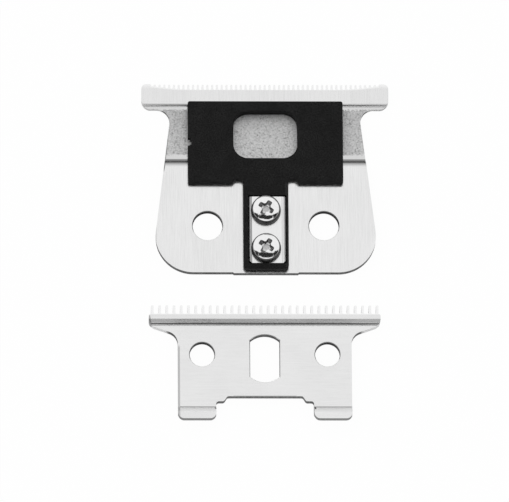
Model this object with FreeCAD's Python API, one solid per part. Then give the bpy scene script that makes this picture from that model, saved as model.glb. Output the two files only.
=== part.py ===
import FreeCAD, Part
import math
import os

# Two-part blade of a T-shaped hair clipper, laid out flat: the comb with its cutter guide, and the
# cutter. The comb is the fixed blade. It lies on its skin side with its teeth towards +Y. The black
# guide is held on it by two pan-head screws through a small clamp plate, and its cross bar bridges
# the channel behind the comb's front land. The cutter is the moving blade. It is taken off and lies
# behind the comb, turned over, so that the two faces it slides on, its front land and its feet, look
# up. The guide's bar fits between that land and those feet when the blade is put together.
#
# Millimetres. The origin is midway between the comb's two mounting holes, on its skin side. +X is to
# the right, +Y towards the teeth and +Z up.

Vector = FreeCAD.Vector

# Comb outline
comb_thickness = 1.5
mount_hole_spacing = 19.05
mount_hole_diameter = 4.9
hole_edge_break = 0.1
skin_edge_chamfer = 0.16  # outline of the comb's skin side
comb_rear_reach = 7.92  # hole line to the rear edge
rear_pad_width = 10.5
rear_pad_proud = 0.14
tail_width = 37.7  # over the sharp rear corners
tail_radius = 6.2
neck_width = 30.78  # over the sharp corners under the wings
neck_radius = 2.6
head_width = 40.6
head_depth = 4.1  # teeth tips to the rear edge of the wings
wing_radius = 1.5
comb_tip_reach = 24.08  # hole line to the teeth tips
lobe_proud = 0.09  # how far the rounded ends stand past the teeth
lobe_radius = 0.8

# Comb section
land_depth = 3.38  # teeth tips to the channel
channel_width = 10.5
channel_depth = 0.55
channel_front_draft = 0.1
channel_front_radius = 0.3
channel_ramp_run = 1.04  # rounded rear side, from the face down to the floor
skin_bevel_depth = 4.7  # teeth tips to the start of the skin-side bevel
comb_tip_thickness = 0.35

# Comb teeth
comb_tooth_count = 47
comb_tooth_pitch = 0.786
comb_tooth_width = 0.34
comb_tooth_length = 0.89
comb_tooth_tip_chamfer = 0.11
comb_root_bevel = 0.13  # corners at the bottom of a slot
comb_slot_rake = 40.0  # degrees by which a slot runs back towards the skin side
runout_half_width = 11.0  # where the slots begin to get shallower
runout_rise = 0.62  # how much shallower the last slot is

# Guide
guide_height = 1.4
guide_clearance = 0.03  # bar to the cutter's land and feet
guide_overhang = 0.17  # bar past the channel, onto the land
bar_width = 25.43
bar_depth = 13.88
bar_corner_radius = 0.35
stem_width = 7.4
stem_corner_radius = 0.7
stem_rear_margin = 0.22  # comb's rear edge to the stem's end
guide_edge_chamfer = 0.12
window_width = 10.5
window_depth = 7.95
window_front_wall = 1.76
window_corner_radius = 2.4
relief_width = 1.75  # notches where the stem meets the bar
relief_depth = 0.58
relief_slant = 0.55
relief_radius = 0.5
side_notch_radius = 0.7
side_notch_reach = 6.9  # bar's front edge to the side notch
tongue_side_margin = 0.4
tongue_floor_gap = 0.05
tongue_rear_gap = 0.3

# Clamp plate and its pocket in the stem
pocket_depth = 0.9
pocket_rim_left = 0.82
pocket_rim_right = 0.32
pocket_rim_rear = 0.98
plate_thickness = 0.5
plate_length = 11.28
plate_clearance = 0.12
plate_bevel_run = 0.42  # shallow bevels along the plate's long edges
plate_bevel_drop = 0.12
plate_corner_cut = 0.45

# Clamp screws, pan head with a cross recess
screw_front_inset = 2.41  # from the plate's front end
screw_rear_inset = 2.43
screw_diameter = 2.5
screw_fit = 0.02  # across the tapped hole
screw_passage = 0.2  # across the holes in plate and guide
screw_tip_recess = 0.15
screw_tip_chamfer = 0.3
screw_head_diameter = 4.9
screw_head_height = 2.0
screw_head_crown = 0.5
screw_head_side = 0.3  # upright part of the head's side
screw_head_top_diameter = 4.55  # where the tapered side meets the dome
recess_span = 2.77
recess_width = 0.78
recess_depth = 1.0
recess_foot_span = 1.3
recess_foot_width = 0.5
recess_core = 1.5
recess_core_foot = 0.9
recess_turn = 58.0  # degrees
recess_quarter = 90.0  # degrees between the two wings

# Cutter plan, measured from the line through its two holes
lay_side = -0.3  # how far the cutter lies to the left of the comb
lay_gap = 5.99  # between the comb's rear edge and the cutter's teeth as they lie
cutter_thickness = 1.45
cutter_width = 37.8
cutter_tip_reach = 7.87
cutter_tooth_count = 32
cutter_tooth_pitch = 1.1835
cutter_tooth_width = 0.42
cutter_tooth_length = 1.44
cutter_tooth_tip_chamfer = 0.1
cutter_root_radius = 0.24
cutter_nose_depth = 2.85  # teeth tips to the foot of the nose's rear wall
cutter_lobe_radius = 0.62
cutter_wing_side = 2.6  # teeth tips to the end of the wing's straight side
cutter_wing_slant_run = 0.75
cutter_wing_slant_drop = 0.6
cutter_wing_slope = 19.0  # degrees, rear edge of the wings
cutter_wing_radius = 0.9
cutter_shoulder_radius = 2.1
cutter_body_width = 28.35
cutter_hole_spacing = 20.45
cutter_hole_diameter = 4.06
slot_width = 4.8
slot_length = 8.0
slot_end_bulge = 0.94
slot_offset = -0.7  # hole line to the slot's middle

# Cutter section and feet
running_clearance = 0.05
nose_wall_draft = 0.06
nose_chamfer_run = 0.53
nose_chamfer_drop = 0.68
cutter_tip_thickness = 0.3
cutter_bevel_depth = 2.55  # teeth tips to the start of the bevel on the far side
foot_width = 6.2
foot_length = 1.51
foot_joggle_run = 0.72
foot_joggle_radius = 0.25
foot_corner_radius = 1.0
notch_width = 12.3
notch_reach = 1.85  # the pocket's rear end forward to the notch's deepest edge
notch_step = 0.85
notch_ramp = 0.55
notch_radius = 0.45

# Places worked out from the sizes
comb_tip_y = comb_tip_reach
land_rear_y = comb_tip_y - land_depth
channel_rear_y = land_rear_y - channel_width
channel_floor_z = comb_thickness - channel_depth
wing_rear_y = comb_tip_y - head_depth
guide_top_z = comb_thickness + guide_height
bar_front_y = land_rear_y + guide_overhang
bar_rear_y = bar_front_y - bar_depth
stem_rear_y = -comb_rear_reach + stem_rear_margin
window_front_y = bar_front_y - window_front_wall
window_rear_y = window_front_y - window_depth
pocket_left_x = -stem_width / 2 + pocket_rim_left
pocket_right_x = stem_width / 2 - pocket_rim_right
pocket_rear_y = stem_rear_y + pocket_rim_rear
pocket_front_y = pocket_rear_y + plate_length + 2 * plate_clearance
pocket_floor_z = guide_top_z - pocket_depth
pocket_x = (pocket_left_x + pocket_right_x) / 2
pocket_y = (pocket_front_y + pocket_rear_y) / 2
plate_front_y = pocket_y + plate_length / 2
plate_rear_y = pocket_y - plate_length / 2
plate_top_z = pocket_floor_z + plate_thickness
screw_places = [Vector(0, plate_front_y - screw_front_inset, 0),
                Vector(0, plate_rear_y + screw_rear_inset, 0)]
contact_height = guide_height + running_clearance
contact_z = cutter_thickness + contact_height
cutter_y = -comb_rear_reach - lay_gap - cutter_tip_reach
nose_foot_y = cutter_tip_reach - cutter_nose_depth
feet_front_y = nose_foot_y - bar_depth - 2 * guide_clearance
overshoot = 1.0  # how far a cutting shape runs past what it cuts
same_place = 1e-6  # what lies closer counts as touching


def rounded_wire(corners, plane):
    """Closed wire through corners given as (u, v, radius), each rounded as far as its sides allow."""
    points = [Vector(u, v, 0) for u, v, _ in corners]
    count = len(points)
    reach = []
    for i, (_, _, radius) in enumerate(corners):
        before = (points[i - 1] - points[i]).normalize()
        after = (points[(i + 1) % count] - points[i]).normalize()
        half = before.getAngle(after) / 2
        room = [radius / math.tan(half)] if radius else [0.0]
        for other in (i - 1, (i + 1) % count):
            side = (points[other] - points[i]).Length
            room.append(side / 2 if corners[other][2] else side)
        reach.append(min(room))
    edges = []
    for i, corner in enumerate(points):
        before = (points[i - 1] - corner).normalize()
        after = (points[(i + 1) % count] - corner).normalize()
        start = corner + before * reach[i]
        if reach[i]:
            half = before.getAngle(after) / 2
            radius = reach[i] * math.tan(half)
            bisector = (before + after).normalize()
            middle = corner + bisector * (radius / math.sin(half) - radius)
            edges.append(Part.Arc(plane(start), plane(middle), plane(corner + after * reach[i])).toShape())
        follower = points[(i + 1) % count]
        stop = follower + (corner - follower).normalize() * reach[(i + 1) % count]
        leave = corner + after * reach[i]
        if (stop - leave).Length > same_place:
            edges.append(Part.makeLine(plane(leave), plane(stop)))
    return Part.Wire(edges)


def flat(z):
    """Places plan points at the height z."""
    return lambda point: Vector(point.x, point.y, z)


def section(x):
    """Places (y, z) section points at the station x."""
    return lambda point: Vector(x, point.x, point.y)


def mirrored(half):
    """Corners of an outline that is the same left and right, from its right half."""
    return half + [(-u, v, radius) for u, v, radius in reversed(half)]


def prism(corners, bottom, top):
    """Upright solid over a plan outline."""
    return Part.Face(rounded_wire(corners, flat(bottom))).extrude(Vector(0, 0, top - bottom))


def along_x(corners, width):
    """Solid with one section all along X."""
    return Part.Face(rounded_wire(corners, section(-width / 2))).extrude(Vector(width, 0, 0))


def level_edges(shape, z):
    """Edges of a solid that lie flat at the height z."""
    heights = [(edge, edge.BoundBox.ZMin, edge.BoundBox.ZMax) for edge in shape.Edges]
    return [edge for edge, low, high in heights if max(abs(low - z), abs(high - z)) < 10 * same_place]


def drill(x, y, diameter, bottom, top):
    """Cutting cylinder that runs past both faces."""
    height = top - bottom + 2 * overshoot
    return Part.makeCylinder(diameter / 2, height, Vector(x, y, bottom - overshoot))


def countersink(x, y, diameter, edge, z, upward):
    """Cone that breaks the edge of a hole at a face."""
    direction = 1 if upward else -1
    start = Vector(x, y, z - direction * edge)
    return Part.makeCone(diameter / 2, diameter / 2 + 2 * edge, 2 * edge, start, Vector(0, 0, direction))


def broken_hole(x, y, diameter, bottom, top):
    """Through hole with both edges broken."""
    hole = drill(x, y, diameter, bottom, top)
    for z, upward in ((top, True), (bottom, False)):
        hole = hole.fuse(countersink(x, y, diameter, hole_edge_break, z, upward))
    return hole


def comb_outline():
    """Plan of the comb: rounded tail, waist under the wings, and the wide head."""
    pad_x = rear_pad_width / 2
    rear_y = -comb_rear_reach
    tip_y = comb_tip_y
    lobe_top = tip_y + lobe_proud
    lobe_x = head_width / 2 - 2 * lobe_radius
    half = [
        (pad_x, rear_y - rear_pad_proud, 0),
        (pad_x + rear_pad_proud, rear_y, 0),
        (tail_width / 2, rear_y, tail_radius),
        (neck_width / 2, wing_rear_y, neck_radius),
        (head_width / 2, wing_rear_y, wing_radius),
        (head_width / 2, lobe_top, lobe_radius),
        (lobe_x, lobe_top, lobe_radius / 2),
        (lobe_x - lobe_proud, tip_y, 0),
    ]
    return mirrored(half)


def comb_section():
    """Section along Y: skin-side bevel, front land, channel and rear flat."""
    bevel_start = comb_tip_y - skin_bevel_depth
    slope = (comb_thickness - comb_tip_thickness) / skin_bevel_depth
    front = comb_tip_y + overshoot
    rear = -comb_rear_reach - overshoot
    ramp_square = channel_ramp_run ** 2 + channel_depth ** 2
    ramp_radius = ramp_square / (2 * channel_depth)
    ramp_corner_y = channel_rear_y + ramp_square / (2 * channel_ramp_run)
    return [
        (rear, 0, 0),
        (bevel_start, 0, 0),
        (front, slope * (front - bevel_start), 0),
        (front, comb_thickness, 0),
        (land_rear_y, comb_thickness, 0),
        (land_rear_y - channel_front_draft, channel_floor_z, channel_front_radius),
        (channel_rear_y + channel_ramp_run, channel_floor_z, 0),
        (ramp_corner_y, comb_thickness, ramp_radius),
        (rear, comb_thickness, 0),
    ]


def tip_notch(x, gap, tip_y, chamfer):
    """Corners of the widened mouth that chamfers the tips of the teeth on both sides of a gap."""
    half = gap / 2
    return [
        (x - half, tip_y - chamfer, 0),
        (x + half, tip_y - chamfer, 0),
        (x + half + chamfer, tip_y, 0),
        (x + half + chamfer, tip_y + overshoot, 0),
        (x - half - chamfer, tip_y + overshoot, 0),
        (x - half - chamfer, tip_y, 0),
    ]


def comb_slots():
    """The slots between the comb's teeth, raked back towards the skin side and shallower at the ends."""
    gap = comb_tooth_pitch - comb_tooth_width
    runout_width = comb_tooth_count / 2 * comb_tooth_pitch - runout_half_width
    reach = comb_thickness + comb_tooth_length + 2 * overshoot
    slots = []
    for i in range(comb_tooth_count + 1):
        x = (i - comb_tooth_count / 2) * comb_tooth_pitch
        runout = max(0.0, (abs(x) - runout_half_width) / runout_width) ** 2 * runout_rise
        root_y = comb_tip_y - comb_tooth_length + runout
        slot = prism(mirrored([(gap / 2 - comb_root_bevel, 0, 0), (gap / 2, comb_root_bevel, 0),
                               (gap / 2, reach, 0)]), -reach, reach)
        slot.rotate(Vector(0, 0, 0), Vector(1, 0, 0), -comb_slot_rake)
        slot.translate(Vector(x, root_y, comb_thickness))
        slots.append(slot)
        notch = tip_notch(x, gap, comb_tip_y, comb_tooth_tip_chamfer)
        slots.append(prism(notch, -overshoot, comb_thickness + overshoot))
    return slots


def comb_blade():
    """The fixed blade."""
    blade = prism(comb_outline(), 0, comb_thickness + overshoot)
    blade = blade.makeChamfer(skin_edge_chamfer, level_edges(blade, 0))
    blade = blade.common(along_x(comb_section(), head_width + 2 * overshoot))
    holes = [broken_hole(side * mount_hole_spacing / 2, 0, mount_hole_diameter, 0, comb_thickness)
             for side in (-1, 1)]
    tapped = screw_diameter + screw_fit
    holes += [drill(place.x, place.y, tapped, 0, comb_thickness) for place in screw_places]
    return blade.cut(holes + comb_slots()).removeSplitter()


def guide_outline():
    """Plan of the guide: a cross bar on a stem."""
    stem_x = stem_width / 2
    return mirrored([
        (stem_x, stem_rear_y, stem_corner_radius),
        (stem_x, bar_rear_y + relief_depth, relief_radius),
        (stem_x + relief_width - relief_slant, bar_rear_y + relief_depth, relief_radius),
        (stem_x + relief_width, bar_rear_y, relief_radius),
        (bar_width / 2, bar_rear_y, bar_corner_radius),
        (bar_width / 2, bar_front_y, bar_corner_radius),
    ])


def window_outline():
    """Plan of the window that the clipper's drive pin swings in."""
    return mirrored([
        (window_width / 2, window_rear_y, window_corner_radius),
        (window_width / 2, window_front_y, window_corner_radius),
    ])


def guide_tongue():
    """Low tongue under the bar that drops into the comb's channel."""
    half = bar_width / 2 - tongue_side_margin
    front = land_rear_y - channel_front_draft - channel_front_radius - tongue_floor_gap
    rear = channel_rear_y + channel_ramp_run + tongue_rear_gap
    corners = mirrored([(half, rear, bar_corner_radius), (half, front, bar_corner_radius)])
    return prism(corners, channel_floor_z + tongue_floor_gap, comb_thickness + tongue_floor_gap)


def cutter_guide():
    """The moulded guide that the cutter runs along."""
    guide = prism(guide_outline(), comb_thickness, guide_top_z)
    notch = drill(-bar_width / 2, bar_front_y - side_notch_reach, 2 * side_notch_radius,
                  channel_floor_z, guide_top_z)
    window = prism(window_outline(), channel_floor_z - overshoot, guide_top_z + overshoot)
    guide = guide.cut([notch, window]).removeSplitter()
    guide = guide.makeChamfer(guide_edge_chamfer, level_edges(guide, guide_top_z))
    guide = guide.fuse(guide_tongue().cut([notch, window]))
    pocket = Part.makeBox(pocket_right_x - pocket_left_x, pocket_front_y - pocket_rear_y,
                          pocket_depth + overshoot,
                          Vector(pocket_left_x, pocket_rear_y, pocket_floor_z))
    passages = [drill(place.x, place.y, screw_diameter + screw_passage, comb_thickness, guide_top_z)
                for place in screw_places]
    return guide.cut([pocket] + passages).removeSplitter()


def clamp_plate():
    """Small plate under the screw heads, with bevelled long edges and its rear corners cut off."""
    half_x = (pocket_right_x - pocket_left_x) / 2 - plate_clearance
    front = plate_front_y
    rear = plate_rear_y
    corners = [(pocket_x - half_x + plate_corner_cut, rear, 0),
               (pocket_x + half_x - plate_corner_cut, rear, 0),
               (pocket_x + half_x, rear + plate_corner_cut, 0),
               (pocket_x + half_x, front, 0),
               (pocket_x - half_x, front, 0),
               (pocket_x - half_x, rear + plate_corner_cut, 0)]
    plate = prism(corners, pocket_floor_z, plate_top_z)
    for side in (-1, 1):
        edge_x = pocket_x + side * half_x
        bevel = [Vector(edge_x - side * plate_bevel_run, rear, plate_top_z),
                 Vector(edge_x, rear, plate_top_z - plate_bevel_drop),
                 Vector(edge_x, rear, plate_top_z)]
        wedge = Part.Face(Part.makePolygon(bevel + bevel[:1]))
        plate = plate.cut(wedge.extrude(Vector(0, plate_length, 0)))
    passages = [drill(place.x, place.y, screw_diameter + screw_passage, pocket_floor_z, plate_top_z)
                for place in screw_places]
    return plate.cut(passages)


def cross_wing(turn):
    """One tapered wing of the cross recess, sunk into a head that stands at the origin."""
    top = screw_head_height + overshoot
    foot = screw_head_height - recess_depth
    flare = (top - foot) / recess_depth
    span = recess_foot_span + (recess_span - recess_foot_span) * flare
    width = recess_foot_width + (recess_width - recess_foot_width) * flare
    rings = []
    for z, length, breadth in ((foot, recess_foot_span, recess_foot_width), (top, span, width)):
        corners = [(-length / 2, -breadth / 2, 0), (length / 2, -breadth / 2, 0),
                   (length / 2, breadth / 2, 0), (-length / 2, breadth / 2, 0)]
        rings.append(rounded_wire(corners, flat(z)))
    wing = Part.makeLoft(rings, True, True)
    wing.rotate(Vector(0, 0, 0), Vector(0, 0, 1), turn)
    return wing


def screw_body():
    """Chamfered shank and tapered, domed head turned as one, the head's underside at the origin."""
    shank = screw_diameter / 2
    point = screw_tip_recess - plate_top_z
    head = screw_head_diameter / 2
    rim_radius = screw_head_top_diameter / 2
    dome = (rim_radius ** 2 + screw_head_crown ** 2) / (2 * screw_head_crown)
    dome_centre = screw_head_height - dome

    def on_dome(x):
        return Vector(x, 0, dome_centre + math.sqrt(dome ** 2 - x ** 2))

    rim = on_dome(rim_radius)
    top = on_dome(0)
    side_end = Vector(head, 0, screw_head_side)
    corners = [top, Vector(0, 0, point), Vector(shank - screw_tip_chamfer, 0, point),
               Vector(shank, 0, point + screw_tip_chamfer), Vector(shank, 0, 0), Vector(head, 0, 0),
               side_end, rim]
    edges = [Part.makeLine(start, stop) for start, stop in zip(corners, corners[1:])]
    edges.append(Part.Arc(rim, on_dome(rim.x / 2), top).toShape())
    return Part.Face(Part.Wire(edges)).revolve(Vector(0, 0, 0), Vector(0, 0, 1), 360)


def clamp_screw(place):
    """Pan-head screw, its head resting on the clamp plate and its point just short of the skin side."""
    core = Part.makeCone(recess_core_foot / 2, recess_core / 2, recess_depth,
                         Vector(0, 0, screw_head_height - recess_depth))
    screw = screw_body().cut([cross_wing(recess_turn), cross_wing(recess_turn + recess_quarter), core])
    screw.translate(Vector(place.x, place.y, plate_top_z))
    return screw


def cutter_outline():
    """Plan of the cutter: toothed head with wings, body, and the notch between its feet."""
    tip_y = cutter_tip_reach
    root_y = tip_y - cutter_tooth_length
    toothed = ((cutter_tooth_count - 1) * cutter_tooth_pitch + cutter_tooth_width) / 2
    wing_x = cutter_width / 2
    slant_x = wing_x - cutter_wing_slant_run
    slant_y = tip_y - cutter_wing_side - cutter_wing_slant_drop
    body_x = cutter_body_width / 2
    shoulder_y = slant_y - (slant_x - body_x) * math.tan(math.radians(cutter_wing_slope))
    foot_x = body_x - foot_width
    foot_rear = feet_front_y - foot_joggle_run - foot_length
    notch_x = notch_width / 2
    notch_y = feet_front_y + notch_reach
    return mirrored([
        (notch_x, notch_y, notch_radius),
        (notch_x + notch_ramp, notch_y - notch_step, notch_radius),
        (foot_x, notch_y - notch_step, notch_radius),
        (foot_x, foot_rear, foot_corner_radius),
        (body_x, foot_rear, foot_corner_radius),
        (body_x, shoulder_y, cutter_shoulder_radius),
        (slant_x, slant_y, cutter_wing_radius),
        (wing_x, tip_y - cutter_wing_side, cutter_wing_radius),
        (wing_x, root_y, cutter_lobe_radius),
        (toothed, root_y, 0),
        (toothed, tip_y - cutter_tooth_tip_chamfer, 0),
        (toothed - cutter_tooth_tip_chamfer, tip_y, 0),
    ])


def cutter_section():
    """Section of the cutter along Y: bevelled nose, thin plate, and feet set up to the nose's level."""
    tip_y = cutter_tip_reach
    slope = (contact_z - cutter_tip_thickness) / cutter_bevel_depth
    front = tip_y + overshoot
    top_bend_y = feet_front_y - foot_joggle_run
    rear = top_bend_y - foot_length - overshoot
    slant = math.hypot(foot_joggle_run, contact_height)
    under_shift = cutter_thickness * (slant - foot_joggle_run) / contact_height
    outer_radius = foot_joggle_radius + cutter_thickness / 2
    return [
        (feet_front_y - under_shift, 0, outer_radius),
        (tip_y - cutter_bevel_depth, 0, 0),
        (front, slope * (front - tip_y + cutter_bevel_depth), 0),
        (front, contact_z, 0),
        (nose_foot_y + nose_wall_draft + nose_chamfer_run, contact_z, 0),
        (nose_foot_y + nose_wall_draft, contact_z - nose_chamfer_drop, foot_joggle_radius),
        (nose_foot_y, cutter_thickness, foot_joggle_radius),
        (feet_front_y, cutter_thickness, foot_joggle_radius),
        (top_bend_y, contact_z, outer_radius),
        (rear, contact_z, 0),
        (rear, contact_height, 0),
        (top_bend_y - under_shift, contact_height, foot_joggle_radius),
    ]


def slot_wire(grow, z):
    """Outline of the drive slot at the height z, larger all round by grow."""
    half_x = slot_width / 2 + grow
    half_y = slot_length / 2 + grow
    side_y = half_y - slot_end_bulge
    corners = [Vector(half_x, slot_offset - side_y, z), Vector(half_x, slot_offset + side_y, z),
               Vector(-half_x, slot_offset + side_y, z), Vector(-half_x, slot_offset - side_y, z)]
    front = Vector(0, slot_offset + half_y, z)
    rear = Vector(0, slot_offset - half_y, z)
    edges = [Part.makeLine(corners[0], corners[1]), Part.Arc(corners[1], front, corners[2]).toShape(),
             Part.makeLine(corners[2], corners[3]), Part.Arc(corners[3], rear, corners[0]).toShape()]
    return Part.Wire(edges)


def drive_slot():
    """Slot with arched ends for the clipper's drive pin, both edges broken."""
    slot = Part.Face(slot_wire(0, -overshoot)).extrude(Vector(0, 0, cutter_thickness + 2 * overshoot))
    for face_z, outward in ((0, -1), (cutter_thickness, 1)):
        inner = slot_wire(0, face_z - outward * hole_edge_break)
        outer = slot_wire(2 * hole_edge_break, face_z + outward * hole_edge_break)
        slot = slot.fuse(Part.makeLoft([inner, outer], True, True))
    return slot


def cutter_gaps():
    """The gaps between the cutter's teeth, square to the plate."""
    gap = cutter_tooth_pitch - cutter_tooth_width
    tip_y = cutter_tip_reach
    root_y = tip_y - cutter_tooth_length
    front = tip_y + overshoot
    gaps = []
    for i in range(cutter_tooth_count - 1):
        x = (i - (cutter_tooth_count - 2) / 2) * cutter_tooth_pitch
        corners = [(x - gap / 2, root_y, cutter_root_radius), (x + gap / 2, root_y, cutter_root_radius),
                   (x + gap / 2, front, 0), (x - gap / 2, front, 0)]
        gaps.append(prism(corners, -overshoot, contact_z + overshoot))
        notch = tip_notch(x, gap, tip_y, cutter_tooth_tip_chamfer)
        gaps.append(prism(notch, -overshoot, contact_z + overshoot))
    return gaps


def cutter_blade():
    """The moving blade, turned over as it lies."""
    blade = prism(cutter_outline(), -overshoot, contact_z + overshoot)
    blade = blade.common(along_x(cutter_section(), cutter_width + 2 * overshoot))
    holes = [broken_hole(side * cutter_hole_spacing / 2, 0, cutter_hole_diameter, 0, cutter_thickness)
             for side in (-1, 1)]
    blade = blade.cut(holes + [drive_slot()] + cutter_gaps()).removeSplitter()
    blade.translate(Vector(lay_side, cutter_y, 0))
    return blade


def build():
    """All sub-parts by node name."""
    return {
        "comb_blade": comb_blade(),
        "cutter_guide": cutter_guide(),
        "clamp_plate": clamp_plate(),
        "clamp_screw_front": clamp_screw(screw_places[0]),
        "clamp_screw_rear": clamp_screw(screw_places[1]),
        "cutter_blade": cutter_blade(),
    }


os.makedirs("parts", exist_ok=True)
for node, shape in build().items():
    shape.exportStep(f"parts/{node}.step")
    box = shape.BoundBox
    print(node, shape.isValid(), len(shape.Solids), f"{shape.Volume:.2f}",
          [round(v, 2) for v in (box.XMin, box.XMax, box.YMin, box.YMax, box.ZMin, box.ZMax)])
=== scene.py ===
import math
import bpy
from mathutils import Matrix, Vector


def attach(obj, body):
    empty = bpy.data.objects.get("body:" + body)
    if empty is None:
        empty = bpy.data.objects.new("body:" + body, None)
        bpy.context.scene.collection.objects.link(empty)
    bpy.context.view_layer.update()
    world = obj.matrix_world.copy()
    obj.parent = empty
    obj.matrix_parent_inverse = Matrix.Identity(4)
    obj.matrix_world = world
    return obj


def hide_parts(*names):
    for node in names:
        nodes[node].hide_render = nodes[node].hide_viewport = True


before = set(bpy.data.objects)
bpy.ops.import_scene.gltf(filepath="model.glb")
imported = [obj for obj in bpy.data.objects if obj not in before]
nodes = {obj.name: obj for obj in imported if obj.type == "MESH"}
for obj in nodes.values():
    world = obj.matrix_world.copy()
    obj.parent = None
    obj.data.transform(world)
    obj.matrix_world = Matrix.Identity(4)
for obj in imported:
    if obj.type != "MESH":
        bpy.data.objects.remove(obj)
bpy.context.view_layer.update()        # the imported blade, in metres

mm = 0.001
print("blade loaded:", ", ".join(sorted(nodes)))


# small helpers for edit mode

def freshSelection():
    if bpy.context.object and bpy.context.object.mode != "OBJECT":
        bpy.ops.object.mode_set(mode="OBJECT")
    bpy.ops.object.select_all(action="DESELECT")


def dropPicks(piece):
    bpy.ops.object.mode_set(mode="OBJECT")
    for part in (piece.data.vertices, piece.data.edges, piece.data.polygons):
        for one in part:
            one.select = False


# these two pick the wanted faces, or edges, of the piece and nothing else, and go on in edit mode
def pickFaces(piece, wanted):
    dropPicks(piece)
    for face in piece.data.polygons:
        face.select = wanted(face)
    bpy.ops.object.mode_set(mode="EDIT")
    bpy.ops.mesh.select_mode(type="FACE")


def pickEdges(piece, wanted):
    dropPicks(piece)
    for edge in piece.data.edges:
        ends = [piece.data.vertices[i] for i in edge.vertices]
        if wanted(*(end.co for end in ends)):
            edge.select = True
            for end in ends:
                end.select = True
    bpy.ops.object.mode_set(mode="EDIT")
    bpy.ops.mesh.select_mode(type="EDGE")


# camera, on the photograph's line of sight

camera = {
    "lens": 648.0,
    "sensor": 36.0,
    "clip": (0.01, 20.0),
    "distance": 1500.0 * mm,
    "lookAt": (-1.828 * mm, -3.882 * mm, 0.0),
    "leanLeft": 1.7,     # degrees off the vertical, towards the blade's left side
    "leanBack": 15.7,    # and towards its tail
    "roll": -0.387,
}


def makeCamera(view):
    data = bpy.data.cameras.new("photoCamera")
    data.lens = view["lens"]
    data.sensor_width = view["sensor"]
    data.clip_start, data.clip_end = view["clip"]
    leanLeft, leanBack, roll = (math.radians(view[name]) for name in ("leanLeft", "leanBack", "roll"))
    back = Vector((-math.tan(leanLeft), -math.tan(leanBack), 1)).normalized()
    right = Vector((0, 1, 0)).cross(back).normalized()
    up = back.cross(right)
    turn = Matrix((right, up, back)).transposed().to_4x4() @ Matrix.Rotation(roll, 4, "Z")
    eye = bpy.data.objects.new("photoCamera", data)
    bpy.context.scene.collection.objects.link(eye)
    eye.matrix_world = Matrix.Translation(Vector(view["lookAt"]) + back * view["distance"]) @ turn
    bpy.context.scene.camera = eye


makeCamera(camera)
print("camera set")


# Nodes for the materials. Tones are greys from 0 to 1. A mask is 1 where it holds and 0 elsewhere:
# a pair of numbers says where it is 0 and where it is 1, and three are a band's two edges and how
# soft they are.

noiseMiddle = (0.3, 0.7)     # most of a noise's values lie between these
noiseWhole = (0.2, 0.8)      # and nearly all of them between these


def newMaterial(name):
    material = bpy.data.materials.new(name)
    material.use_nodes = True
    tree = material.node_tree
    tree.nodes.clear()
    out = tree.nodes.new("ShaderNodeOutputMaterial")
    shader = tree.nodes.new("ShaderNodeBsdfPrincipled")
    tree.links.new(shader.outputs["BSDF"], out.inputs["Surface"])
    place = tree.nodes.new("ShaderNodeTexCoord")
    return material, tree, shader, place


def put(tree, value, socket):
    if isinstance(value, (int, float)):
        socket.default_value = value
    else:
        tree.links.new(value, socket)


def calc(tree, kind, a, b=0.0):
    node = tree.nodes.new("ShaderNodeMath")
    node.operation = kind
    put(tree, a, node.inputs[0])
    put(tree, b, node.inputs[1])
    return node.outputs["Value"]


# a sum with shares: of two noises, or of two coordinates for a place along a slanted line
def weighed(tree, a, shareA, b, shareB):
    return calc(tree, "ADD", calc(tree, "MULTIPLY", a, shareA), calc(tree, "MULTIPLY", b, shareB))


# from start to end as the value goes from low to high
def shift(tree, value, low, high, start=0.0, end=1.0, kind="SMOOTHSTEP"):
    node = tree.nodes.new("ShaderNodeMapRange")
    node.interpolation_type = kind
    for name, number in (("Value", value), ("From Min", low), ("From Max", high),
                         ("To Min", start), ("To Max", end)):
        put(tree, number, node.inputs[name])
    return node.outputs["Result"]


# the second tone where the mask is 1, the first where it is 0
def over(tree, mask, under, top):
    return shift(tree, mask, 0.0, 1.0, under, top, "LINEAR")


def both(tree, *masks):
    product = masks[0]
    for mask in masks[1:]:
        product = calc(tree, "MULTIPLY", product, mask)
    return product


def between(tree, value, low, high, soft):
    above = shift(tree, value, low - soft, low + soft)
    return both(tree, above, shift(tree, value, high + soft, high - soft))


def axes(tree, vector):
    node = tree.nodes.new("ShaderNodeSeparateXYZ")
    tree.links.new(vector, node.inputs["Vector"])
    return node.outputs["X"], node.outputs["Y"], node.outputs["Z"]


# squeezes the coordinates along an axis, so that a noise turns into lines
def stretched(tree, place, scale):
    mapping = tree.nodes.new("ShaderNodeMapping")
    mapping.inputs["Scale"].default_value = scale
    tree.links.new(place.outputs["Object"], mapping.inputs["Vector"])
    return mapping.outputs["Vector"]


def noise(tree, vector, scale, detail=2.0, rough=0.5):
    node = tree.nodes.new("ShaderNodeTexNoise")
    node.inputs["Scale"].default_value = scale
    node.inputs["Detail"].default_value = detail
    node.inputs["Roughness"].default_value = rough
    tree.links.new(vector, node.inputs["Vector"])
    return node.outputs["Fac"]


def bump(tree, shader, height, strength, depth):
    node = tree.nodes.new("ShaderNodeBump")
    node.inputs["Strength"].default_value = strength
    node.inputs["Distance"].default_value = depth
    tree.links.new(height, node.inputs["Height"])
    tree.links.new(node.outputs["Normal"], shader.inputs["Normal"])


# distance from an upright axis at x, y
def fromAxis(tree, x, y, centreX, centreY):
    dx = calc(tree, "SUBTRACT", x, centreX)
    dy = calc(tree, "SUBTRACT", y, centreY)
    return calc(tree, "SQRT", weighed(tree, dx, dx, dy, dy))


# ground steel: fine lines along one axis, a slow cloud, sheared walls

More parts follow.
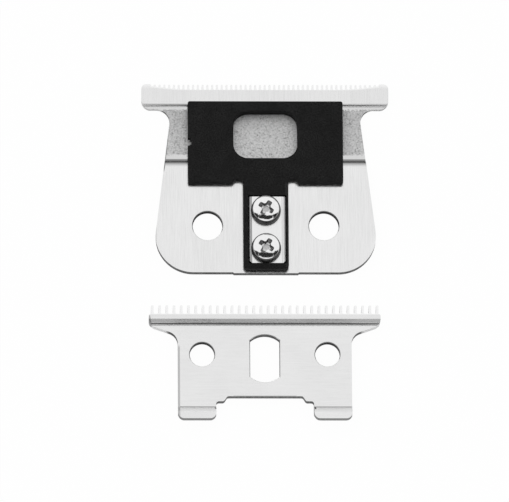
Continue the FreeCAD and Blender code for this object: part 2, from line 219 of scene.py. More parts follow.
ground = {
    "lines": (1.0, 3.0, 0.6),            # scale, detail and roughness of a noise
    "lineReach": (0.3, 0.75),
    "cloud": (150.0, 2.0),
    "cloudTone": (-0.012, 0.012),
    "shearScale": (2500, 2500, 400),
    "shear": (1.0, 3.0),
    "shearTone": (0.8, 1.25),
    "rough": (0.16, 0.24),
    "wallRough": 0.85,
    "wallFacing": (0.55, 0.25),          # upward part of the normal
    "levelFacing": (0.8, 0.95),
    "rimFacing": (0.5, 0.88, 0.04),
    "rimTurn": (0.2, 0.4),               # part of the normal along the blade
    "rim": (0.9, 0.7, 0.2),              # tone, roughness and share of metal
}


def groundSteel(name, look):
    material, tree, shader, place = newMaterial(name)
    lines = noise(tree, stretched(tree, place, look["lineScale"]), *ground["lines"])
    cloud = noise(tree, place.outputs["Object"], *ground["cloud"])
    shear = noise(tree, stretched(tree, place, ground["shearScale"]), *ground["shear"])
    lineTone = shift(tree, lines, *ground["lineReach"], 0.0, look["lineDark"])
    cloudTone = shift(tree, cloud, *noiseMiddle, *ground["cloudTone"])
    x, y, z = axes(tree, place.outputs["Object"])
    nx, ny, nz = axes(tree, place.outputs["Normal"])
    steel = {
        "tree": tree, "shader": shader, "place": place, "lines": lines,
        "x": x, "y": y, "z": z, "nx": nx, "ny": ny, "nz": nz,
        "side": calc(tree, "ABSOLUTE", x),
        "wall": shift(tree, calc(tree, "ABSOLUTE", nz), *ground["wallFacing"]),
        "level": shift(tree, nz, *ground["levelFacing"]),
        "shear": shift(tree, shear, *noiseMiddle, *ground["shearTone"]),
        "tone": calc(tree, "ADD", calc(tree, "SUBTRACT", look["face"], lineTone), cloudTone),
        "rough": shift(tree, lines, *noiseWhole, *ground["rough"]),
        "metal": 1.0,
    }
    # slanted rims, turned to the teeth or to the tail, which are dull and pale where a blade asks for it
    slant = between(tree, nz, *ground["rimFacing"])
    turn = ground["rimTurn"]
    steel["frontRims"] = both(tree, slant, shift(tree, ny, *turn))
    steel["rearRims"] = both(tree, slant, shift(tree, ny, -turn[0], -turn[1]))
    return material, steel


# lays one more tone, with a roughness and a share of metal if given, over what is there
def lay(steel, mask, tone, rough=None, metal=None):
    for name, value in (("tone", tone), ("rough", rough), ("metal", metal)):
        if value is not None:
            steel[name] = over(steel["tree"], mask, steel[name], value)


# the strip beside the teeth is a little darker than the face
def layLand(steel, look):
    land = calc(steel["tree"], "MULTIPLY", steel["tone"], look["land"] / look["face"])
    lay(steel, shift(steel["tree"], steel["y"], *look["landPlace"]), land)


# painted shade on walls: a dark tone, mottled like sheared steel
def layWallShade(steel, mask, tone, rough=None):
    lay(steel, mask, calc(steel["tree"], "MULTIPLY", tone, steel["shear"]), rough)


# painted shade on the walls of the two round holes; x is measured from the blade's middle
def layHoles(steel, x, look):
    tree = steel["tree"]
    away = fromAxis(tree, x, steel["y"], *look["holePlace"])
    lay(steel, both(tree, steel["wall"], shift(tree, away, *look["holeReach"])), look["holeWallShade"])


def finishSteel(steel, height, strength, depth):
    steel["tree"].links.new(steel["tone"], steel["shader"].inputs["Base Color"])
    steel["tree"].links.new(steel["rough"], steel["shader"].inputs["Roughness"])
    put(steel["tree"], steel["metal"], steel["shader"].inputs["Metallic"])
    bump(steel["tree"], steel["shader"], height, strength, depth)


# comb: ground face, etched channel floor, round rear ramp in painted shade, teeth with a painted highlight

comb = {
    "face": 0.81,
    "lineDark": 0.055,
    "lineScale": (9000, 260, 260),
    "lineHeight": 0.35,                  # beside the etched grain
    "bump": (0.5, 0.006 * mm),
    "land": 0.78,
    "landPlace": (20.5 * mm, 20.7 * mm),
    # the teeth's tone is a painted highlight
    "teeth": 0.87,
    "toothWall": (0.9, 0.7, 0.2),
    "toothPlace": (23.1 * mm, 23.25 * mm),
    "rootRise": (14.0 * mm, 19.5 * mm, 0.0, 0.42 * mm),      # the slots are shallower at the ends
    "teethTo": (18.85 * mm, 18.75 * mm),
    "endFrom": (18.75 * mm, 18.85 * mm),     # the rounded ends beyond get the teeth's painted highlight but stay nearer the land's tone
    "endPlace": (23.3 * mm, 24.1 * mm),
    "strokeSlant": (0.75, 0.67),             # a stroke of painted shade in the head's left corner
    "strokePlace": (-1.39 * mm, -1.21 * mm, 0.04 * mm),
    "strokeSide": (-19.5 * mm, -19.6 * mm),
    "strokeFrom": (20.0 * mm, 20.1 * mm),
    "strokeShade": 0.3,
    "channelHeight": (1.3 * mm, 1.1 * mm),
    "strip": (0.66, 0.14),               # tone and roughness of the smooth strips
    "etched": (0.485, 0.66),
    "etchedRough": 0.55,
    "etchedPlace": (12.2 * mm, 19.9 * mm),
    "etchedUnderBar": 11.1 * mm,         # near the middle it begins further back
    "barEdge": (6.0 * mm, 9.0 * mm),
    "etchedSoft": 0.1 * mm,
    "etchedRagged": (-0.22 * mm, 0.22 * mm),
    "etchedFall": (12.5 * mm, 20.0 * mm, 1.09, 0.98),
    "blobs": (3300.0, 2.0, 0.6),
    "specks": (3600.0, 1.0, 0.5),
    "grainShares": (0.55, 0.45),
    "grainReach": (0.36, 0.64),
    "speckReach": (0.37, 0.27),
    "speckTone": 0.58,
    "rampPlace": (9.95 * mm, 10.92 * mm),
    "rampFoot": (11.54 * mm, 11.46 * mm),
    "rampFacing": (0.3, 0.45),
    "rampShade": 0.25,
    "channelEdgeShadePlace": (20.74 * mm, 20.86 * mm, 0.04 * mm),
    "channelEdgeShade": 0.56,
    "outerWallShade": 0.2,
    "channelWall": 0.75,
    "channelWallPlace": (20.4 * mm, 21.0 * mm, 0.05 * mm),
    "channelWallFrom": (0.9 * mm, 0.95 * mm),
    "wingWall": 0.75,
    "wingSide": (16.5 * mm, 17.3 * mm),
    "wingFrom": (18.5 * mm, 18.6 * mm),
    "holeWallShade": 0.03,
    "holePlace": (9.525 * mm, 0.0),
    "holeReach": (2.7 * mm, 2.6 * mm),
    "rimsBehind": (9.0 * mm, 8.8 * mm),
    "leftSide": (0.0, -1.0 * mm),
    "waistSlope": 0.107,
    "waistEdge": (17.49 * mm, 17.55 * mm),
    "waistPlace": (9.4 * mm, 15.5 * mm, 0.5 * mm),
    "waistShade": 0.28,
    "tailEdge": (17.84 * mm, 17.92 * mm),
    "tailPlace": (-3.0 * mm, 2.5 * mm, 0.8 * mm),
    "tailShade": 0.62,
}


# the channel's smooth strips and the etched floor between them; gives the etched mask and its grain
def layChannel(steel, look):
    tree, y = steel["tree"], steel["y"]
    low = both(tree, shift(tree, steel["z"], *look["channelHeight"]), steel["level"])
    lay(steel, low, *look["strip"])
    blobs = noise(tree, steel["place"].outputs["Object"], *look["blobs"])
    specks = noise(tree, steel["place"].outputs["Object"], *look["specks"])
    grain = weighed(tree, blobs, look["grainShares"][0], specks, look["grainShares"][1])
    ragged = calc(tree, "ADD", y, shift(tree, blobs, *noiseMiddle, *look["etchedRagged"]))
    etchedFrom, etchedTo = look["etchedPlace"]
    soft = look["etchedSoft"]
    start = shift(tree, steel["side"], *look["barEdge"], look["etchedUnderBar"], etchedFrom)
    begun = shift(tree, calc(tree, "SUBTRACT", ragged, start), -soft, soft)
    etched = both(tree, low, begun, shift(tree, ragged, etchedTo + soft, etchedTo - soft))
    speckTone = shift(tree, specks, *look["speckReach"], 1.0, look["speckTone"])
    tone = calc(tree, "MULTIPLY", shift(tree, grain, *look["grainReach"], *look["etched"]), speckTone)
    # painted light and shade: the etched floor is a little lighter towards the tail and darker towards the
    # front
    tone = calc(tree, "MULTIPLY", tone, shift(tree, y, *look["etchedFall"]))
    lay(steel, etched, tone, look["etchedRough"])
    return etched, grain


def makeCombSteel(look):
    material, steel = groundSteel("combSteel", look)
    tree, x, y, wall = steel["tree"], steel["side"], steel["y"], steel["wall"]
    layLand(steel, look)
    root = calc(tree, "SUBTRACT", y, shift(tree, x, *look["rootRise"]))
    teeth = both(tree, shift(tree, root, *look["toothPlace"]), shift(tree, x, *look["teethTo"]))
    ends = both(tree, shift(tree, y, *look["endPlace"]), shift(tree, x, *look["endFrom"]))
    # painted highlight on the teeth and the rounded ends
    lay(steel, calc(tree, "MAXIMUM", teeth, ends), look["teeth"])
    # a stroke of painted shade in the head's left corner
    slanted = weighed(tree, steel["x"], look["strokeSlant"][0], y, look["strokeSlant"][1])
    stroke = both(tree, between(tree, slanted, *look["strokePlace"]),
                  shift(tree, steel["x"], *look["strokeSide"]), shift(tree, y, *look["strokeFrom"]))
    lay(steel, stroke, look["strokeShade"])
    etched, grain = layChannel(steel, look)
    # painted shade on the ramp behind the channel, darkening towards its foot, and a line of painted shade
    # along the channel's front edge
    ramp = both(tree, shift(tree, y, *look["rampPlace"]), shift(tree, y, *look["rampFoot"]),
                shift(tree, steel["nz"], *look["rampFacing"]))
    lay(steel, ramp, look["rampShade"])
    lay(steel, both(tree, between(tree, y, *look["channelEdgeShadePlace"]), steel["level"]), look["channelEdgeShade"])
    # walls, most of them in painted shade
    layWallShade(steel, wall, look["outerWallShade"], ground["wallRough"])
    inChannel = both(tree, wall, between(tree, y, *look["channelWallPlace"]),
                     shift(tree, steel["z"], *look["channelWallFrom"]))
    lay(steel, inChannel, look["channelWall"])
    wings = both(tree, wall, shift(tree, x, *look["wingSide"]), shift(tree, y, *look["wingFrom"]))
    lay(steel, wings, look["wingWall"])
    layHoles(steel, x, look)
    lay(steel, both(tree, wall, teeth), *look["toothWall"])
    lay(steel, both(tree, steel["frontRims"], shift(tree, y, *look["rimsBehind"])), *ground["rim"])
    # painted shade along the left edge, by the waist and beside the hole
    left = shift(tree, steel["x"], *look["leftSide"])
    taper = calc(tree, "ADD", x, calc(tree, "MULTIPLY", y, look["waistSlope"]))
    waist = both(tree, shift(tree, taper, *look["waistEdge"]), between(tree, y, *look["waistPlace"]), left)
    lay(steel, waist, look["waistShade"])
    tail = both(tree, shift(tree, x, *look["tailEdge"]), between(tree, y, *look["tailPlace"]), left)
    lay(steel, tail, look["tailShade"])
    height = over(tree, etched, calc(tree, "MULTIPLY", steel["lines"], look["lineHeight"]), grain)
    finishSteel(steel, height, *look["bump"])
    return material


nodes["comb_blade"].material_slots[0].material = makeCombSteel(comb)
print("comb finished")


# cutter: lines across, teeth with a painted highlight, bevelled nose, feet set up by a joggle

cutter = {
    "face": 0.795,
    "lineDark": 0.03,
    "lineScale": (260, 9000, 260),
    "bump": (0.2, 0.004 * mm),
    "middleX": -0.3 * mm,
    "land": 0.775,
    "landPlace": (-16.9 * mm, -16.7 * mm),
    # the teeth's tone is a painted highlight
    "teeth": 0.885,
    "toothWall": (0.9, 0.7, 0.2),
    "toothPlace": (-15.55 * mm, -15.3 * mm),
    "outerWallShade": 0.18,
    "notchWallShade": 0.25,
    "notchTurn": (-0.3, -0.5),
    "notchPlace": (-30.2 * mm, -28.0 * mm, 0.1 * mm),
    "notchEdge": (-28.98 * mm, -28.72 * mm, 0.05 * mm),
    "notchSide": (5.2 * mm, 5.0 * mm),
    "notchEdgeShade": 0.58,
    "wingWall": (0.9, 0.7, 0.2),
    "wingSide": (15.5 * mm, 16.3 * mm),
    "wingFrom": (-19.5 * mm, -19.4 * mm),
    "wingHeight": (1.47 * mm, 1.45 * mm),
    "noseWallShade": 0.36,
    "noseHeight": (1.44 * mm, 1.47 * mm),
    "noseFrom": (-18.5 * mm, -18.4 * mm),
    "joggle": (0.85, 0.7, 0.2),
    "jogglePlace": (-30.6 * mm, -30.65 * mm),
    "joggleHeight": (1.4 * mm, 1.43 * mm),
    "joggleFacing": (0.99, 0.95),
    "joggleTurn": (0.05, 0.2),
    "joggleEdge": (-31.02 * mm, -30.58 * mm, 0.06 * mm),
    "joggleEdgeFacing": (0.5, 0.8),
    "joggleEdgeShade": 0.27,
    "footSide": (7.8 * mm, 8.0 * mm),
    "footEndShade": 0.4,
    "footEndPlace": (-31.8 * mm, -32.1 * mm),
    "cornerMiddle": -0.22 * mm,              # dark spots at the inner ends of the feet
    "cornerSide": (7.94 * mm, 8.22 * mm, 0.05 * mm),
    "cornerPlace": (-31.3 * mm, -30.7 * mm, 0.06 * mm),
    "cornerTone": 0.12,
    "leftEdge": (-14.12 * mm, -14.18 * mm),
    "leftEdgeBehind": (-20.0 * mm, -20.8 * mm),
    "leftEdgeShade": 0.5,
    "holeWallShade": 0.05,
    "holePlace": (10.225 * mm, -21.78 * mm),
    "holeReach": (2.3 * mm, 2.2 * mm),
    "rimsFrom": (-30.0 * mm, -29.8 * mm),
    "strokeSlant": 0.22,                     # a stroke of painted shade at the nose's left end
    "strokeSide": (-22.41 * mm, -22.5 * mm),
    "strokePlace": (-17.2 * mm, -15.6 * mm, 0.1 * mm),
    "strokeShade": 0.4,
}


# the feet: pale joggle, a line of painted shade along its edge, and dark spots at the inner ends
def layFeet(steel, x, look):
    tree, y = steel["tree"], steel["y"]
    raised = both(tree, shift(tree, y, *look["jogglePlace"]), shift(tree, steel["z"], *look["joggleHeight"]))
    sloped = both(tree, shift(tree, steel["nz"], *look["joggleFacing"]),
                  shift(tree, steel["ny"], *look["joggleTurn"]))
    lay(steel, both(tree, raised, sloped), *look["joggle"])
    edge = both(tree, between(tree, y, *look["joggleEdge"]), shift(tree, x, *look["footSide"]),
                shift(tree, steel["nz"], *look["joggleEdgeFacing"]))
    lay(steel, edge, look["joggleEdgeShade"])
    aside = calc(tree, "ABSOLUTE", calc(tree, "SUBTRACT", steel["x"], look["cornerMiddle"]))
    corner = both(tree, between(tree, y, *look["cornerPlace"]), between(tree, aside, *look["cornerSide"]))
    lay(steel, corner, look["cornerTone"])


def makeCutterSteel(look):
    material, steel = groundSteel("cutterSteel", look)
    tree, y, wall = steel["tree"], steel["y"], steel["wall"]
    x = calc(tree, "ABSOLUTE", calc(tree, "SUBTRACT", steel["x"], look["middleX"]))
    layLand(steel, look)
    teeth = shift(tree, y, *look["toothPlace"])
    # painted highlight on the teeth
    lay(steel, teeth, look["teeth"])
    # a line of painted shade on the face along the notch's edge
    notchEdge = both(tree, between(tree, y, *look["notchEdge"]), shift(tree, x, *look["notchSide"]),
                     steel["level"])
    lay(steel, notchEdge, look["notchEdgeShade"])
    # walls, most of them in painted shade
    layWallShade(steel, wall, look["outerWallShade"], ground["wallRough"])
    lay(steel, both(tree, wall, teeth), *look["toothWall"])
    # painted shade on the notch's walls
    notch = both(tree, wall, shift(tree, steel["ny"], *look["notchTurn"]),
                 between(tree, y, *look["notchPlace"]))
    layWallShade(steel, notch, look["notchWallShade"])
    wings = both(tree, shift(tree, x, *look["wingSide"]), shift(tree, y, *look["wingFrom"]),
                 shift(tree, steel["z"], *look["wingHeight"]))
    lay(steel, both(tree, wall, wings), *look["wingWall"])
    # painted shade on the walls up at the nose
    nose = both(tree, wall, shift(tree, steel["z"], *look["noseHeight"]), shift(tree, y, *look["noseFrom"]))
    lay(steel, nose, look["noseWallShade"])
    layFeet(steel, x, look)
    # painted shade along the left edge
    leftEdge = both(tree, shift(tree, steel["x"], *look["leftEdge"]), shift(tree, y, *look["leftEdgeBehind"]))
    lay(steel, leftEdge, look["leftEdgeShade"])
    # painted shade, lighter than the outer walls, on the walls at the ends of the feet
    lay(steel, both(tree, wall, shift(tree, y, *look["footEndPlace"])), look["footEndShade"])
    layHoles(steel, x, look)
    lay(steel, both(tree, steel["frontRims"], shift(tree, y, *look["rimsFrom"])), *ground["rim"])
    lay(steel, both(tree, steel["rearRims"], wings), *ground["rim"])
    # a stroke of painted shade at the nose's left end
    slanted = calc(tree, "ADD", steel["x"], calc(tree, "MULTIPLY", y, look["strokeSlant"]))
    stroke = both(tree, shift(tree, slanted, *look["strokeSide"]), between(tree, y, *look["strokePlace"]))
    lay(steel, stroke, look["strokeShade"])
    finishSteel(steel, steel["lines"], *look["bump"])
    return material


nodes["cutter_blade"].material_slots[0].material = makeCutterSteel(cutter)
print("cutter finished")


# clamp plate: bright, with two coarse bevels in painted shade

plate = {
    "face": 0.83,
    "lineDark": 0.03,
    "lineScale": (7000, 300, 300),
    "bump": (0.2, 0.004 * mm),
    "outerWallShade": (0.1, 0.8),             # tones and roughnesses
    "leftBevelShade": (0.5, 0.3),
    "rightBevelShade": (0.64, 0.3),
    "bevelTurn": (0.12, 0.2),
    "borderShades": (                         # lines of painted shade along the long edges, with their tones
        ((-2.44 * mm, -2.28 * mm, 0.03 * mm), 0.3),
        ((2.58 * mm, 2.74 * mm, 0.03 * mm), 0.62),
    ),
}


def makePlateSteel(look):
    material, steel = groundSteel("plateSteel", look)
    tree, turn = steel["tree"], look["bevelTurn"]
    # painted shade on the bevels, darker on the left
    lay(steel, shift(tree, steel["nx"], -turn[0], -turn[1]), *look["leftBevelShade"])
    lay(steel, shift(tree, steel["nx"], *turn), *look["rightBevelShade"])
    for border, tone in look["borderShades"]:
        lay(steel, between(tree, steel["x"], *border), tone)
    # painted shade on the plate's walls
    layWallShade(steel, steel["wall"], *look["outerWallShade"])
    finishSteel(steel, steel["lines"], *look["bump"])
    return material


nodes["clamp_plate"].material_slots[0].material = makePlateSteel(plate)
print("plate finished")


# guide: matt black moulding, its walls painted darker than its top as painted shade, and a painted sheen on
# its slanted edges

guide = {
    "top": 0.0098,
    "wall": 0.002,
    "wallFacing": (0.6, 0.4),
    "edge": 0.013,
    "edgeFacing": (0.6, 0.85, 0.05),
    "rimSide": ((3.1 * mm, 3.2 * mm), (4.0 * mm, 3.9 * mm)),     # paler rim right of the plate
    "rimBehind": (7.0 * mm, 6.8 * mm),
    "rimTone": 0.02,
    "pocketFront": (4.3 * mm, 6.0 * mm, 0.05 * mm),
    "pocketSide": (-2.6 * mm, 2.8 * mm, 0.1 * mm),
    "grain": (5200.0, 3.0, 0.65),
    "grainReach": (0.34, 0.66),
    "grainTone": (0.15, 2.0),
    "cloud": (400.0, 2.0),
    "cloudTone": (0.85, 1.15),
    "rough": (0.54, 0.7),
    "specular": 0.1,
    "bump": (0.4, 0.01 * mm),
}


def makeGuideBlack(look):
    material, tree, shader, place = newMaterial("guideBlack")
    grain = noise(tree, place.outputs["Object"], *look["grain"])
    cloud = noise(tree, place.outputs["Object"], *look["cloud"])
    x, y = axes(tree, place.outputs["Object"])[:2]
    nz = axes(tree, place.outputs["Normal"])[2]
    rimFrom, rimTo = (shift(tree, x, *side) for side in look["rimSide"])
    rim = both(tree, rimFrom, rimTo, shift(tree, y, *look["rimBehind"]))
    top = over(tree, rim, look["top"], look["rimTone"])
    # the walls get painted shade, darker than the top, except in the pocket, where they keep the top's tone
    inPocket = both(tree, between(tree, y, *look["pocketFront"]), between(tree, x, *look["pocketSide"]))
    wall = over(tree, inPocket, look["wall"], look["top"])
    tone = over(tree, shift(tree, nz, *look["wallFacing"]), top, wall)
    # a painted sheen on the slanted edges
    tone = over(tree, between(tree, nz, *look["edgeFacing"]), tone, look["edge"])
    mottle = calc(tree, "MULTIPLY", shift(tree, grain, *look["grainReach"], *look["grainTone"]),
                  shift(tree, cloud, *noiseMiddle, *look["cloudTone"]))
    tree.links.new(calc(tree, "MULTIPLY", tone, mottle), shader.inputs["Base Color"])
    tree.links.new(shift(tree, grain, *noiseWhole, *look["rough"]), shader.inputs["Roughness"])
    shader.inputs["Specular IOR Level"].default_value = look["specular"]
    bump(tree, shader, grain, *look["bump"])
    return material


nodes["cutter_guide"].material_slots[0].material = makeGuideBlack(guide)
print("guide finished")


# clamp screws, modelled once at 1 unit to the millimetre: pan head, cross recess, plain shank

screw = {
    "turns": 96,
    "tip": (0.95, 0.15),         # radius and height
    "shank": (1.25, 0.45),
    "headBase": (2.45, 2.5),
    "headSide": (2.45, 2.8),
    "shoulder": (2.28, 3.87),
    "domeTop": 4.48,
    "domeRings": (1.85, 1.6, 1.35, 1.1, 0.85, 0.6, 0.35),
    "roundShoulder": (0.22, 6),          # width and steps of a rounded edge
    "roundFoot": (0.06, 2),
    "wingTop": (3.3, 0.95, 4.7),         # length, width and height of the recess's wings
    "wingFoot": (1.5, 0.62, 3.55),
    "wingRound": (0.2, 3),
    "pitTop": (1.2, 1.2, 4.7),
    "pitFoot": (0.92, 0.92, 3.42),
    "pitRound": (0.1, 3),
    "turn": 58.0,                # degrees
    "smoothUnder": 38.0,
    "near": 0.01,                # how close an edge's ends lie to the ring that is picked
    "weld": 0.0005,
    "places": {"frontClampScrew": ("clamp_screw_front", 2.27), "rearClampScrew": ("clamp_screw_rear", -4.17)},
}


# the dome is a part of a sphere over the shoulder
def domeHeight(look, radius):
    rim, rimZ = look["shoulder"]
    rise = look["domeTop"] - rimZ
    sphere = (rim ** 2 + rise ** 2) / (2 * rise)
    return look["domeTop"] - sphere + math.sqrt(sphere ** 2 - radius ** 2)


# a block that tapers from a top to a foot, its upright edges rounded
def makeRecessBlock(top, foot, turn, roundness):
    freshSelection()
    tall = top[2] - foot[2]
    bpy.ops.mesh.primitive_cube_add(size=1, location=(0, 0, (top[2] + foot[2]) / 2), scale=(*top[:2], tall))
    block = bpy.context.object
    bpy.ops.object.transform_apply(location=True, rotation=True, scale=True)
    pickFaces(block, lambda face: face.normal.z < -0.9)      # the foot
    taper = (foot[0] / top[0], foot[1] / top[1], 1)
    bpy.ops.transform.resize(value=taper, center_override=(0, 0, foot[2]))
    pickEdges(block, lambda a, b: abs(a.z - b.z) > tall / 2)
    bpy.ops.mesh.bevel(offset=roundness[0], segments=roundness[1], affect="EDGES")
    bpy.ops.mesh.select_all(action="SELECT")
    bpy.ops.transform.rotate(value=-math.radians(turn), orient_axis="Z", center_override=(0, 0, 0))
    bpy.ops.mesh.normals_make_consistent(inside=False)
    bpy.ops.object.mode_set(mode="OBJECT")
    return block


# rounds the edge that runs along the ring with this radius and height
def roundRing(piece, ring, roundness, near):
    def onRing(end):
        return abs(math.hypot(end.x, end.y) - ring[0]) < near and abs(end.z - ring[1]) < near

    pickEdges(piece, lambda a, b: onRing(a) and onRing(b))
    bpy.ops.mesh.bevel(offset=roundness[0], segments=roundness[1], affect="EDGES")


# shank and head, drawn up ring by ring from the tip
def makeScrewBody(look):
    freshSelection()
    radius, height = look["tip"]
    bpy.ops.mesh.primitive_circle_add(vertices=look["turns"], radius=radius, fill_type="NGON",
                                      location=(0, 0, height))
    shape = bpy.context.object
    bpy.ops.object.transform_apply(location=True, rotation=True, scale=True)
    bpy.ops.object.mode_set(mode="EDIT")
    bpy.ops.mesh.select_all(action="SELECT")
    underHead = (look["shank"][0], look["headBase"][1])
    rings = [look["shank"], underHead, look["headBase"], look["headSide"], look["shoulder"]]
    rings += [(ring, domeHeight(look, ring)) for ring in look["domeRings"]]
    for nextRadius, nextHeight in rings:
        up = (0, 0, nextHeight - height)
        bpy.ops.mesh.extrude_region_move(TRANSFORM_OT_translate={"value": up})
        grow = nextRadius / radius
        bpy.ops.transform.resize(value=(grow, grow, 1), center_override=(0, 0, nextHeight))
        radius, height = nextRadius, nextHeight
    roundRing(shape, look["shoulder"], look["roundShoulder"], look["near"])
    roundRing(shape, look["headBase"], look["roundFoot"], look["near"])
    bpy.ops.mesh.select_all(action="SELECT")
    bpy.ops.mesh.normals_make_consistent(inside=False)
    bpy.ops.object.mode_set(mode="OBJECT")
    return shape


def makeScrewShape(look):
    shape = makeScrewBody(look)
    blocks = [makeRecessBlock(look["wingTop"], look["wingFoot"], look["turn"] + quarter, look["wingRound"])
              for quarter in (0, 90)]
    blocks.append(makeRecessBlock(look["pitTop"], look["pitFoot"], look["turn"], look["pitRound"]))
    for block in blocks:
        freshSelection()
        shape.select_set(True)
        bpy.context.view_layer.objects.active = shape
        cut = shape.modifiers.new("recess", "BOOLEAN")
        cut.operation = "DIFFERENCE"
        cut.solver = "EXACT"
        cut.object = block
        bpy.ops.object.modifier_apply(modifier=cut.name)
        bpy.data.objects.remove(block, do_unlink=True)
    bpy.ops.object.mode_set(mode="EDIT")
    bpy.ops.mesh.select_all(action="SELECT")
    bpy.ops.mesh.remove_doubles(threshold=look["weld"])
    bpy.ops.mesh.normals_make_consistent(inside=False)
    bpy.ops.transform.resize(value=(mm, mm, mm), center_override=(0, 0, 0))
    bpy.ops.object.mode_set(mode="OBJECT")
    bpy.ops.object.shade_smooth_by_angle(angle=math.radians(look["smoothUnder"]))
    return shape


# bright plating, dull and darkened by painted shade in the recess and down the side

plating = {
    "dome": 0.85,
    "rub": (2600.0, 3.0, 0.6),
    "rubTone": (-0.03, 0.02),
    "rough": (0.07, 0.11),
    "side": 0.15,
    "sideFacing": (0.85, 0.6),
    "sideRough": 0.5,
    "sideRoughFacing": (0.6, 0.3),
    "recessDepth": (0.03 * mm, 0.08 * mm),       # under the dome
    "recessReach": (1.62 * mm, 1.58 * mm),
    "recessRough": 0.4,
    "recessWallShade": 0.16,
    "recessSlopeShade": 0.5,
    "slopeFacing": (0.35, 0.5),
    "recessFloor": 0.7,
    "floorFacing": (0.8, 0.95),
    "pitFloor": 0.56,
    "pitHeight": (3.47 * mm, 3.45 * mm),
    "dents": (800.0, 1.0),
    "rubHeight": 0.02,
    "bump": (1.0, 0.07 * mm),
}


# 1 in the recess: under the dome, which falls away as the square of the radius, and within its reach
def makeRecessMask(tree, look, shape, away, z):
    rim, rimZ = shape["shoulder"]
    fall = (shape["domeTop"] - rimZ) / rim ** 2 / mm
    drop = calc(tree, "MULTIPLY", calc(tree, "MULTIPLY", away, away), fall)
    depth = calc(tree, "SUBTRACT", calc(tree, "SUBTRACT", shape["domeTop"] * mm, drop), z)
    return both(tree, shift(tree, depth, *look["recessDepth"]), shift(tree, away, *look["recessReach"]))


def makePlating(name, look, shape, centreY):
    material, tree, shader, place = newMaterial(name)
    x, y, z = axes(tree, place.outputs["Object"])
    nz = axes(tree, place.outputs["Normal"])[2]
    rub = noise(tree, place.outputs["Object"], *look["rub"])
    inRecess = makeRecessMask(tree, look, shape, fromAxis(tree, x, y, 0.0, centreY * mm), z)
    tone = calc(tree, "ADD", look["dome"], shift(tree, rub, *noiseMiddle, *look["rubTone"]))
    # painted shade down the side
    tone = over(tree, shift(tree, nz, *look["sideFacing"]), tone, look["side"])
    # painted shade in the recess: darkest on its walls, lighter on its slopes and floors
    inside = over(tree, shift(tree, nz, *look["slopeFacing"]), look["recessWallShade"], look["recessSlopeShade"])
    level = shift(tree, nz, *look["floorFacing"])
    inside = over(tree, level, inside, look["recessFloor"])
    inside = over(tree, both(tree, level, shift(tree, z, *look["pitHeight"])), inside, look["pitFloor"])
    tree.links.new(over(tree, inRecess, tone, inside), shader.inputs["Base Color"])
    shader.inputs["Metallic"].default_value = 1.0
    rough = shift(tree, rub, *noiseMiddle, *look["rough"])
    rough = over(tree, shift(tree, nz, *look["sideRoughFacing"]), rough, look["sideRough"])
    rough = over(tree, inRecess, rough, look["recessRough"])
    tree.links.new(rough, shader.inputs["Roughness"])
    dents = noise(tree, place.outputs["Object"], *look["dents"])
    height = calc(tree, "ADD", dents, calc(tree, "MULTIPLY", rub, look["rubHeight"]))
    bump(tree, shader, height, *look["bump"])
    return material


screwShape = makeScrewShape(screw)
for pieceName, (nodeName, placeY) in screw["places"].items():
    piece = bpy.data.objects.new(pieceName, screwShape.data.copy())
    bpy.context.scene.collection.objects.link(piece)
    piece.data.transform(Matrix.Translation((0, placeY * mm, 0)))
    piece.data.materials.clear()
    piece.data.materials.append(makePlating(pieceName + "Plating", plating, screw, placeY))
    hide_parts(nodeName)
    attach(piece, "root")
bpy.data.objects.remove(screwShape, do_unlink=True)
print("screws finished")


# studio: white floor and sky; grey flags low round it and dark bars over the tail show in metal only

studio = {
    "floorSize": 6.0,
    "floorDrop": 0.02 * mm,
    "floorTone": 0.92,
    "floorWhite": 0.97,     # share of the floor that shows plain white; the rest takes the shadow
    "worldTone": 0.6,       # for rough surfaces; the camera and metal see white
    "keyWatts": 4.4,
    "keySize": 1.2,
    "keyPlace": (-0.35, 0.25, 0.9),
    "flagTurns": 64,
    "flagRadius": 0.9,
    "flagShift": 0.2,       # nearer on the tail's side
    "flagHeight": 0.36,
    "flagTone": 0.28,
    "bars": {                # places, sizes and turns
        "darkBar": ((0.0, -0.51, 1.0), (1.4, 0.5), 0.0),
        "darkBarLeft": ((-1.266, -0.56, 1.0), (1.0, 1.0), -14.0),
        "darkBarRight": ((1.266, -0.56, 1.0), (1.0, 1.0), 14.0),
    },
    "barTone": 0.03,
}


def seenDirectly(tree):
    rays = tree.nodes.new("ShaderNodeLightPath")
    seen = calc(tree, "MAXIMUM", rays.outputs["Is Camera Ray"], rays.outputs["Is Glossy Ray"])
    return calc(tree, "MAXIMUM", seen, rays.outputs["Is Transmission Ray"])


# an empty tree and its output, for a material or the world
def emptyTree(owner, outputKind):
    owner.use_nodes = True
    tree = owner.node_tree
    tree.nodes.clear()
    return tree, tree.nodes.new(outputKind)


def grey(tone):
    return (tone, tone, tone, 1)


# a card that shows in metal only
def mirroredOnly(card, name, tone):
    material = bpy.data.materials.new(name)
    tree, out = emptyTree(material, "ShaderNodeOutputMaterial")
    glow = tree.nodes.new("ShaderNodeEmission")
    glow.inputs["Color"].default_value = grey(tone)
    tree.links.new(glow.outputs["Emission"], out.inputs["Surface"])
    card.name = name
    card.data.materials.append(material)
    card.visible_camera = card.visible_diffuse = False
    card.visible_shadow = card.visible_transmission = False


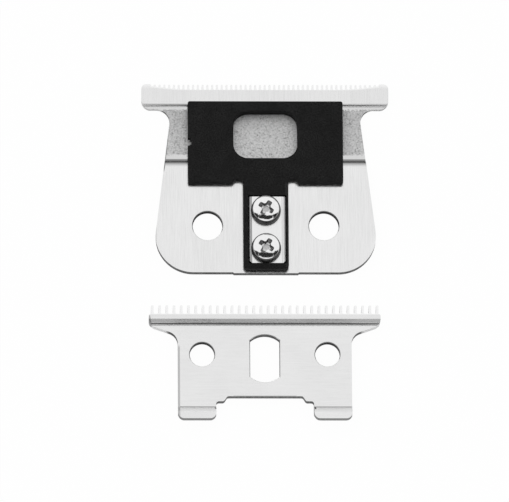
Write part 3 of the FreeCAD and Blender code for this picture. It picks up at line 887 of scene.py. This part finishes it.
def makeFloor(look):
    freshSelection()
    bpy.ops.mesh.primitive_plane_add(size=look["floorSize"], location=(0, 0, -look["floorDrop"]))
    floor = bpy.context.object
    floor.name = "paleFloor"
    material = bpy.data.materials.new("paleFloor")
    tree, out = emptyTree(material, "ShaderNodeOutputMaterial")
    matt = tree.nodes.new("ShaderNodeBsdfDiffuse")
    matt.inputs["Color"].default_value = grey(look["floorTone"])
    white = tree.nodes.new("ShaderNodeEmission")
    white.inputs["Color"].default_value = grey(1)
    mix = tree.nodes.new("ShaderNodeMixShader")
    tree.links.new(calc(tree, "MULTIPLY", seenDirectly(tree), look["floorWhite"]), mix.inputs["Fac"])
    tree.links.new(matt.outputs["BSDF"], mix.inputs[1])
    tree.links.new(white.outputs["Emission"], mix.inputs[2])
    tree.links.new(mix.outputs["Shader"], out.inputs["Surface"])
    floor.data.materials.append(material)


def makeFlagsAndBars(look):
    freshSelection()
    middle = (0, look["flagShift"], look["flagHeight"] / 2)
    bpy.ops.mesh.primitive_cylinder_add(vertices=look["flagTurns"], radius=look["flagRadius"],
                                        depth=look["flagHeight"], end_fill_type="NOTHING", location=middle)
    mirroredOnly(bpy.context.object, "lowFlags", look["flagTone"])
    for name, (barPlace, barSize, barTurn) in look["bars"].items():
        freshSelection()
        bpy.ops.mesh.primitive_plane_add(size=1, location=barPlace, rotation=(0, 0, math.radians(barTurn)))
        bar = bpy.context.object
        bar.scale = (*barSize, 1)
        mirroredOnly(bar, name, look["barTone"])


def makeLight(look):
    world = bpy.data.worlds.new("paleStudio")
    bpy.context.scene.world = world
    tree, out = emptyTree(world, "ShaderNodeOutputWorld")
    sky = tree.nodes.new("ShaderNodeBackground")
    sky.inputs["Color"].default_value = grey(1)
    strength = shift(tree, seenDirectly(tree), 0.0, 1.0, look["worldTone"], 1.0)
    tree.links.new(strength, sky.inputs["Strength"])
    tree.links.new(sky.outputs["Background"], out.inputs["Surface"])

    lamp = bpy.data.lights.new("softKey", "AREA")
    lamp.shape = "SQUARE"
    lamp.size = look["keySize"]
    lamp.energy = look["keyWatts"]
    key = bpy.data.objects.new("softKey", lamp)
    bpy.context.scene.collection.objects.link(key)
    key.visible_glossy = False      # metal already mirrors the white studio
    key.location = look["keyPlace"]
    key.rotation_euler = Vector(look["keyPlace"]).to_track_quat("Z", "Y").to_euler()


makeFloor(studio)
makeFlagsAndBars(studio)
makeLight(studio)
bpy.context.scene.view_settings.view_transform = "Standard"
print("studio set")
